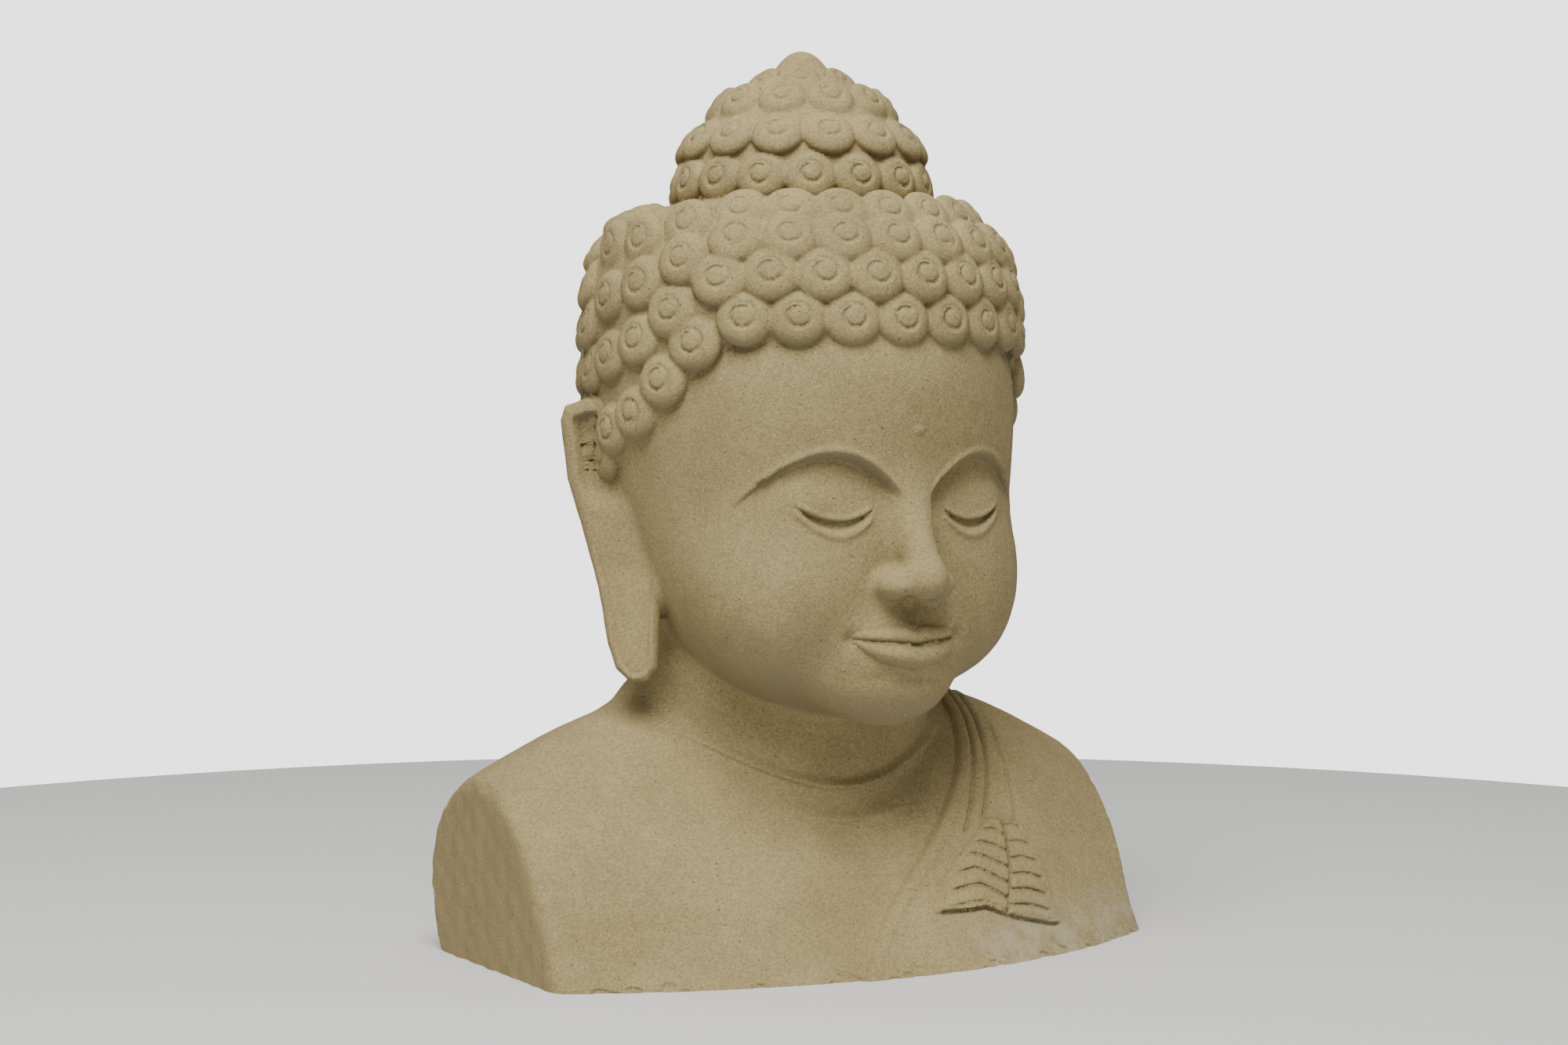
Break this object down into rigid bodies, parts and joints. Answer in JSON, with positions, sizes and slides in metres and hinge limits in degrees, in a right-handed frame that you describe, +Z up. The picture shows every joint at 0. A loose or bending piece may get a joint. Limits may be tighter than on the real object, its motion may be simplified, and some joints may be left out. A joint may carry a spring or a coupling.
{
  "type": "cement buddha bust",
  "caption": "Cast sand-cement bust with curled hair, a domed crown, long ear lobes and a robe over one shoulder, cut flat below to stand on a shelf or in a garden.",
  "frame": {"origin": "on the flat underside, below the middle of the head", "axes": "+Z up, the face looks along -Y, the statue's own left shoulder with the robe is on +X"},
  "size_m": [0.4554, 0.322, 0.5999],
  "materials": {
    "cement": "unpainted cast sand cement, warm sand colour, fine open grain, fully matt"
  },
  "bodies": {
    "root": {"bust": "cement"}
  },
  "joints": []
}
